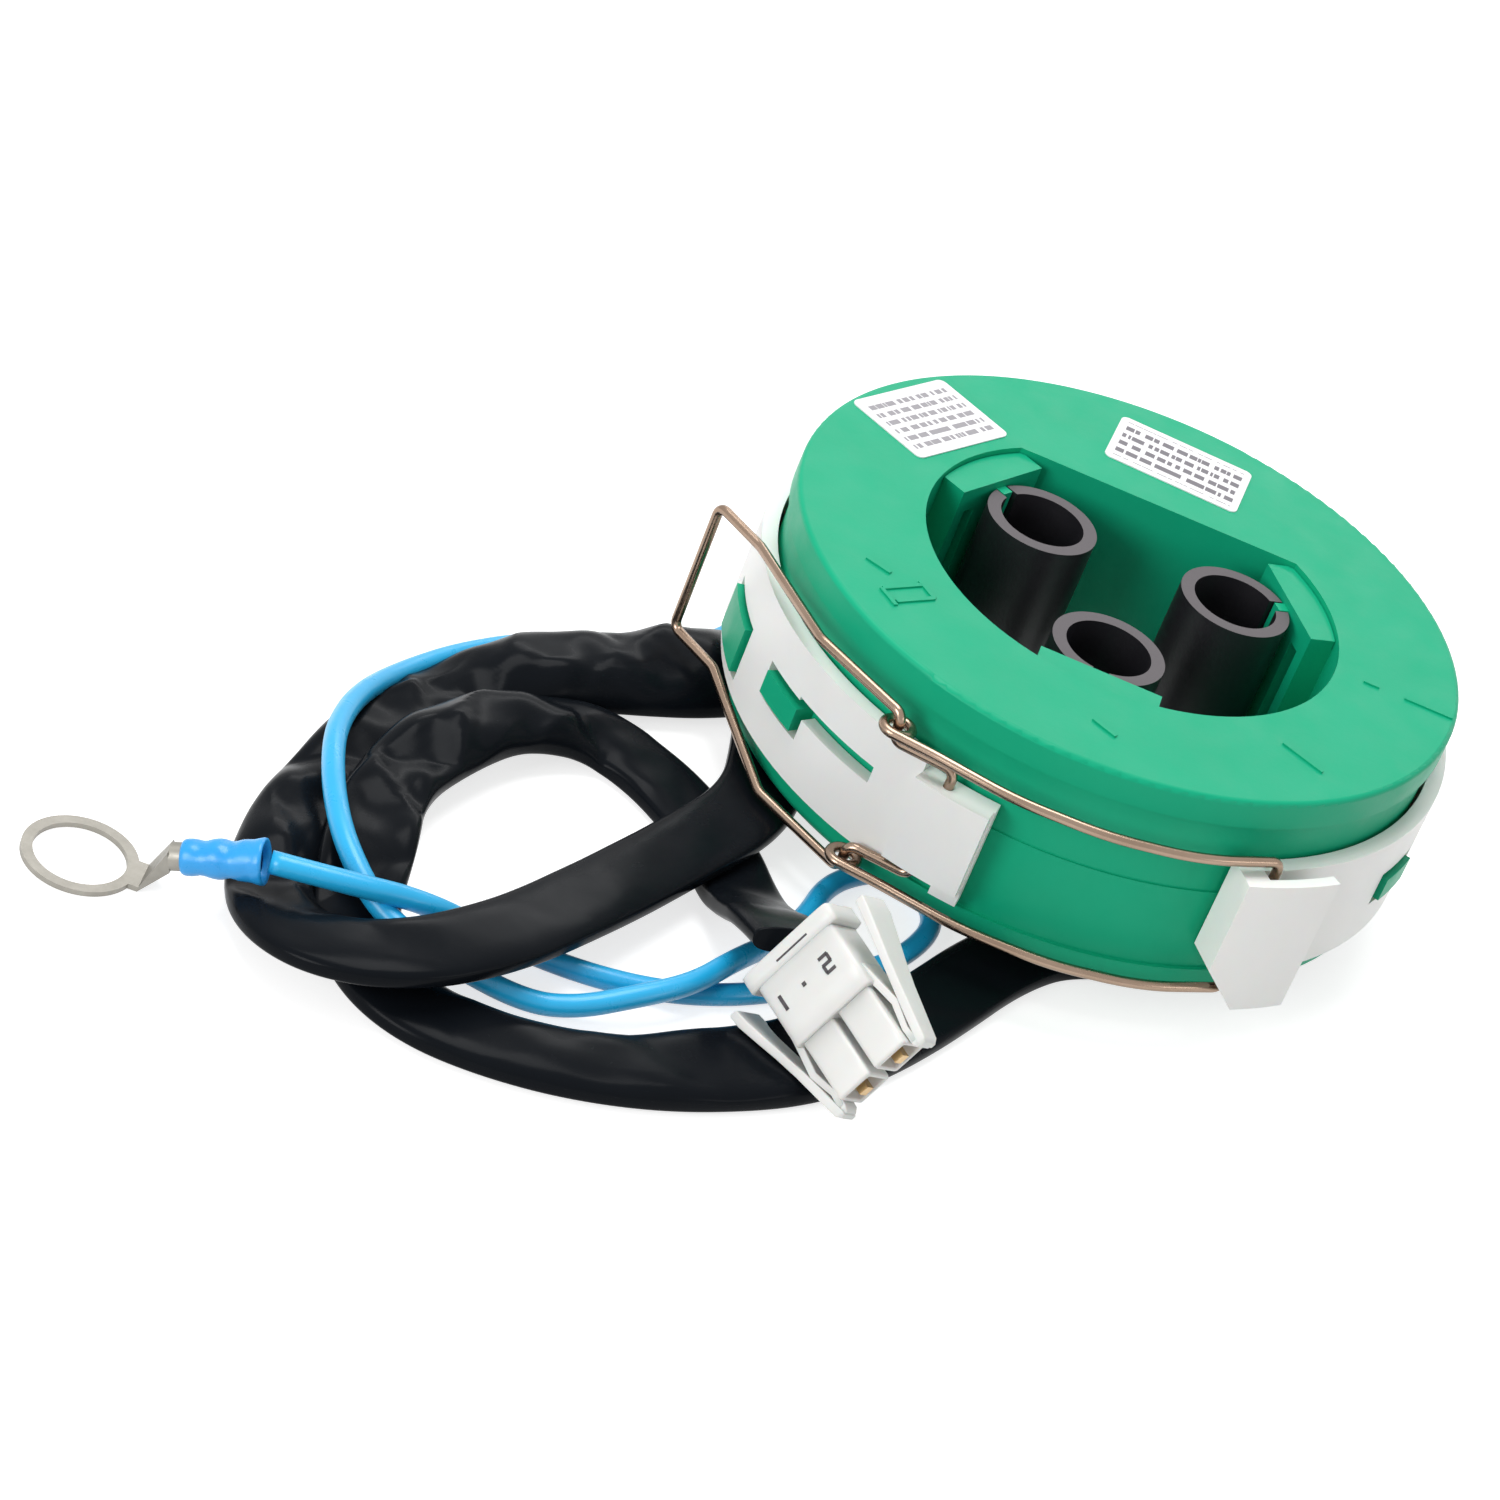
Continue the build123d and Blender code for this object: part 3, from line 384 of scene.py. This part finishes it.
# ---- Wire bail --------------------------------------------------------------
# Lever and link of drawn stainless spring wire. The lever turns in the pivot block and the
# link hangs in the lever's cranks and hooks over the catch.
spring_wire, tree, shader, place = start_finish("spring_wire", 0.26, 1.0)
mottle(tree, shader, place, (0.25, 0.17, 0.12), (0.40, 0.30, 0.23), 90.0)
gloss_range(tree, shader, place, 0.20, 0.30, 240.0)
grain(tree, shader, place, (2600.0, 0.08, 0.00003))
wear(["bail_lever", "bail_link"], spring_wire)

# ---- Labels -----------------------------------------------------------------
# Two white paper labels on the cover, printed with plain grey rows. A row is a band of the
# distance down the label, and its words are where a noise along the row is high.
def calculate(tree, operation, *values):
    """One arithmetic node on plain values or on other nodes' outputs."""
    return add_node(tree, "Math", dict(enumerate(values)), operation=operation).outputs["Value"]


def printed_label(name, turn, size, row_pitch, ink):
    """Paper with grey rows: ink where the label is inside its margin, within a row and within a word."""
    low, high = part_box(name)
    material, tree, shader, place = start_finish(name + "_paper", 0.55)
    centred = add_node(tree, "VectorMath", {0: place, 1: tuple((low + high) / 2)}, operation="SUBTRACT")
    level = add_node(tree, "VectorRotate", {"Vector": centred.outputs["Vector"], "Axis": (0, 0, 1),
                                            "Angle": -radians(turn)})
    split = add_node(tree, "SeparateXYZ", {"Vector": level.outputs["Vector"]}).outputs
    row = calculate(tree, "MULTIPLY", split["Y"], 1 / row_pitch)
    off_centre = calculate(tree, "ABSOLUTE", calculate(tree, "SUBTRACT", calculate(tree, "FRACT", row), 0.5))
    in_row = calculate(tree, "LESS_THAN", off_centre, 0.26)
    strip = add_node(tree, "CombineXYZ", {"X": split["X"], "Y": calculate(tree, "FLOOR", row)})
    words = add_node(tree, "TexNoise", {"Vector": strip.outputs["Vector"], "Scale": 900.0, "Detail": 1.0})
    in_word = calculate(tree, "GREATER_THAN", words.outputs["Fac"], 0.46)
    ink_here = calculate(tree, "MULTIPLY", in_row, in_word)
    for axis, reach in (("X", size[0] / 2), ("Y", size[1] / 2)):
        inside = calculate(tree, "LESS_THAN", calculate(tree, "ABSOLUTE", split[axis]), reach)
        ink_here = calculate(tree, "MULTIPLY", ink_here, inside)
    print_mix = add_node(tree, "MixRGB", {"Fac": ink_here, "Color1": (0.84, 0.83, 0.85, 1),
                                          "Color2": (*ink, 1)})
    tree.links.new(print_mix.outputs["Color"], shader.inputs["Base Color"])
    grain(tree, shader, place, (2200.0, 0.2, 0.00004))
    wear([name], material)


printed_label("label_rating", 58.2, (0.0185, 0.0130), 0.0021, (0.30, 0.29, 0.31))
printed_label("label_terminals", -3.0, (0.0205, 0.0120), 0.0026, (0.16, 0.15, 0.17))

# ---- Connector --------------------------------------------------------------
# Two-way panel plug of natural nylon: a flanged body on the lead's end, two square towers,
# and a barbed latch wing down each side. A pair of stamped brass contacts stands inside.
plug_rear = Vector(lead_route[-1])
plug_ahead = Vector((0.76, -0.62, -0.18)).normalized()
plug_face = Vector((-0.516, -0.751, 0.412))
plug_face = (plug_face - plug_ahead * plug_face.dot(plug_ahead)).normalized()
plug_across = plug_face.cross(plug_ahead)


def square_bar(stations, columns=36, sharp=0.16):
    """A bar along the plug's axis, from one station to the next, each given in millimetres as how far
    along, offset across, offset up the face, half-width and half-thickness. The section is a superellipse
    whose small power squares it off, so that only its corners are round."""
    along, shift, rise, half_wide, half_thick = np.array(stations).T[:, :, None] / 1000
    angle = (np.arange(columns) + 0.5) * 2 * pi / columns
    across = shift + half_wide * signed_power(np.cos(angle), sharp)
    up = rise + half_thick * signed_power(np.sin(angle), sharp)
    return (np.array(plug_rear) + along[..., None] * np.array(plug_ahead)
            + across[..., None] * np.array(plug_across) + up[..., None] * np.array(plug_face))


flange = square_bar([(0.0, 0, 0, 8.2, 3.7), (0.25, 0, 0, 8.5, 4.0), (2.8, 0, 0, 8.5, 4.0),
                     (3.05, 0, 0, 8.2, 3.7)])
body = square_bar([(2.9, 0, 0, 7.3, 3.8), (13.2, 0, 0, 7.3, 3.8), (13.5, 0, 0, 7.0, 3.5)])
plug_bars = [flange, body]
for side in (-1, 1):
    mid = side * 3.42
    tower = square_bar([(13.0, mid, 0, 2.95, 3.0), (23.0, mid, 0, 2.95, 3.0), (23.4, mid, 0, 2.8, 2.85),
                        (23.4, mid, 0, 2.35, 2.35), (23.1, mid, 0, 2.25, 2.25), (17.5, mid, 0, 2.2, 2.2)])
    wing = square_bar([(2.6, side * 12.6, 0, 0.5, 2.7), (2.9, side * 12.5, 0, 0.75, 3.1),
                       (5.0, side * 12.2, 0, 0.8, 3.2), (8.0, side * 11.5, 0, 0.75, 2.9),
                       (12.0, side * 10.5, 0, 0.7, 2.5), (16.0, side * 9.6, 0, 0.7, 2.2),
                       (20.0, side * 8.8, 0, 0.75, 2.0), (24.2, side * 8.0, 0, 0.75, 1.8),
                       (24.9, side * 7.8, 0, 0.4, 1.5)])
    barb = square_bar([(22.0, side * 6.9, 0, 0.5, 1.5), (24.0, side * 7.4, 0, 0.9, 1.6),
                       (24.7, side * 7.6, 0, 0.6, 1.3)])
    spring_leg = square_bar([(10.2, side * 6.6, 0, 0.9, 2.4), (13.8, side * 7.4, 0, 0.6, 2.2),
                             (17.5, side * 8.0, 0, 0.6, 2.0), (21.5, side * 7.0, 0, 0.5, 1.8),
                             (23.6, side * 7.2, 0, 0.5, 1.7)])
    plug_bars += [tower, wing, barb, spring_leg]
plug = skin("plug_housing", *plug_bars)
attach(plug, "transformer")
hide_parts("connector_housing")
plug_nylon, tree, shader, place = start_finish("plug_nylon", 0.36, Subsurface_Weight=0.15,
                                               Subsurface_Scale=0.001)
mottle(tree, shader, place, (0.70, 0.70, 0.675), (0.77, 0.77, 0.75), 130.0)
gloss_range(tree, shader, place, 0.30, 0.46, 300.0)
grain(tree, shader, place, (250.0, 0.12, 0.0003), (2400.0, 0.15, 0.00004))
plug.data.materials.append(plug_nylon)

# Printed way numbers on the broad faces, and painted shade in the moulded slot, as thin dark
# inlays that stand just proud. Each is a flat bar: how far along and across, its height, half its length and
# half its width.
# The first bar is painted shade in the moulded slot on the flange; the other seven are printed way numbers.
print_and_slot_shade_bars = [(1.9, 0.6, 4.02, 0.14, 3.0), (7.2, -5.0, 3.82, 1.25, 0.28), (7.2, -0.9, 3.82, 0.32, 0.32),
            (6.0, 3.6, 3.82, 0.25, 0.85), (7.2, 3.6, 3.82, 0.25, 0.85), (8.4, 3.6, 3.82, 0.25, 0.85),
            (6.6, 4.3, 3.82, 0.6, 0.25), (7.8, 2.9, 3.82, 0.6, 0.25)]
inlay_thick = 0.04
ink = skin("plug_print_and_slot_shade", *[square_bar([(far - long, side, up, wide, inlay_thick),
                                         (far + long, side, up, wide, inlay_thick)], columns=12)
                             for far, side, up, long, wide in print_and_slot_shade_bars])
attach(ink, "transformer")
# One dark grey for the printed numbers and for the painted shade in the slot.
print_and_slot_shade, tree, shader, place = start_finish("print_and_slot_shade", 0.6)
mottle(tree, shader, place, (0.045, 0.04, 0.045), (0.09, 0.08, 0.085), 900.0)
grain(tree, shader, place, (3000.0, 0.2, 0.00003))
ink.data.materials.append(print_and_slot_shade)
stamped_brass, tree, shader, place = start_finish("stamped_brass", 0.32, 1.0)
mottle(tree, shader, place, (0.42, 0.27, 0.12), (0.62, 0.44, 0.22), 500.0)
grain(tree, shader, place, (4000.0, 0.2, 0.00004))
wear(["contact_1", "contact_2"], stamped_brass)

# ---- Ring terminal ----------------------------------------------------------
# A stamped ring tongue of tinned copper, crimped on the earth wire under a blue vinyl barrel that
# is turned about its own axis and pressed in at two places.
tinned, tree, shader, place = start_finish("tinned", 0.34, 1.0)
mottle(tree, shader, place, (0.22, 0.21, 0.185), (0.36, 0.345, 0.31), 260.0)
gloss_range(tree, shader, place, 0.38, 0.56, 500.0)
grain(tree, shader, place, (900.0, 0.2, 0.0001), (5000.0, 0.2, 0.00003))
wear(["earth_terminal"], tinned)
barrel_rear = Vector((-0.0964, -0.1064, 0.0101))
barrel_ahead = Vector((-11.0, -0.95, -4.0)).normalized()
barrel_side = Vector((0, 0, 1)).cross(barrel_ahead).normalized()
barrel_up = barrel_ahead.cross(barrel_side)


def crimped_barrel():
    """A sleeve turned about the barrel's axis. Its radius is read off a profile of distance and radius in
    millimetres, mouth first, and two crimps press it in by the square of the sine of the angle."""
    profile = np.array([(0.9, 1.75), (0.3, 2.2), (0.0, 3.0), (0.1, 3.25), (0.5, 3.3), (1.3, 3.1),
                        (1.8, 2.95), (2.6, 2.92), (3.4, 2.9), (4.0, 2.86), (4.6, 2.84), (5.2, 2.84),
                        (5.8, 2.86), (6.4, 2.84), (7.0, 2.78), (7.6, 2.7), (8.2, 2.66), (8.8, 2.64),
                        (9.4, 2.62), (10.0, 2.6), (10.6, 2.58), (11.1, 2.5), (11.4, 2.3), (11.45, 2.05),
                        (11.0, 2.02)]) / 1000
    angle = np.linspace(0, 2 * pi, 40, endpoint=False)
    far = profile[:, 0, None]
    press = sum(depth * np.exp(-((far - place) / half_long) ** 2)
                for place, half_long, depth in ((0.0046, 0.0009, 0.00055), (0.0086, 0.0008, 0.00045)))
    on_outside = profile[:, 1, None] > 0.0024
    radius = profile[:, 1, None] - press * np.sin(angle)[None, :] ** 2 * on_outside
    return (np.array(barrel_rear) + far[..., None] * np.array(barrel_ahead)
            + (radius * np.cos(angle))[..., None] * np.array(barrel_side)
            + (radius * np.sin(angle))[..., None] * np.array(barrel_up))


barrel = skin("crimped_barrel", crimped_barrel(), caps=False)
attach(barrel, "transformer")
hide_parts("terminal_barrel")
barrel_blue, tree, shader, place = start_finish("barrel_blue", 0.32)
mottle(tree, shader, place, (0.008, 0.28, 0.70), (0.03, 0.38, 0.84), 200.0)
gloss_range(tree, shader, place, 0.24, 0.42, 400.0)
grain(tree, shader, place, (700.0, 0.3, 0.0002))
barrel.data.materials.append(barrel_blue)

# ---- Floor and light --------------------------------------------------------
# A plain pale floor under a white sky. A wide softbox hangs overhead, a second one stands low
# at the front left, and two strips, behind and at the right, draw the edges.
floor_reach = 4.0
floor_grid = np.array([[(x, y, 0.0) for y in (-floor_reach, floor_reach)]
                       for x in (-floor_reach, floor_reach)])
floor = skin("studio_floor", floor_grid, closed_round=False, caps=False)
paper, tree, shader, place = start_finish("studio_paper", 0.9, Specular_IOR_Level=0.1)
shader.inputs["Base Color"].default_value = (0.62, 0.62, 0.62, 1)
shader.inputs["Emission Color"].default_value = (1, 1, 1, 1)


def seen_rays(tree):
    """1 on the rays that show the background, from the camera, off gloss or through glass, else 0."""
    rays = tree.nodes.new("ShaderNodeLightPath").outputs
    plain = calculate(tree, "MAXIMUM", rays["Is Camera Ray"], rays["Is Glossy Ray"])
    return calculate(tree, "MAXIMUM", plain, rays["Is Transmission Ray"])


lift = calculate(tree, "MULTIPLY", seen_rays(tree), 0.72)
tree.links.new(lift, shader.inputs["Emission Strength"])
floor.data.materials.append(paper)

sky = bpy.data.worlds.new("studio_sky")
scene.world = sky
sky.use_nodes = True
tree = sky.node_tree
glow = tree.nodes["Background"]
glow.inputs["Color"].default_value = (1, 1, 1, 1)
strength = add_node(tree, "MapRange", {"Value": seen_rays(tree), "To Min": 0.42, "To Max": 1.0})
tree.links.new(strength.outputs["Result"], glow.inputs["Strength"])


def softbox(name, place, aim, size, power):
    """A rectangular area lamp at a place, turned to face its aim."""
    lamp = bpy.data.lights.new(name, "AREA")
    lamp.shape = "RECTANGLE"
    lamp.size, lamp.size_y = size
    lamp.energy = power
    made = bpy.data.objects.new(name, lamp)
    scene.collection.objects.link(made)
    facing = (Vector(aim) - Vector(place)).to_track_quat("-Z", "Y")
    made.matrix_world = Matrix.Translation(place) @ facing.to_matrix().to_4x4()


softbox("overhead_softbox", (-0.20, 0.15, 0.95), (-0.02, -0.02, 0.0), (0.6, 0.6), 7.0)
softbox("left_softbox", (-0.65, -0.90, 0.42), (-0.02, -0.03, 0.02), (0.45, 0.5), 6.2)
softbox("back_strip", (-0.10, 0.95, 0.55), (-0.05, -0.05, 0.0), (0.7, 0.16), 1.3)
softbox("right_strip", (0.95, -0.35, 0.35), (0.0, -0.03, 0.02), (0.5, 0.2), 0.9)

scene.view_settings.view_transform = "Standard"
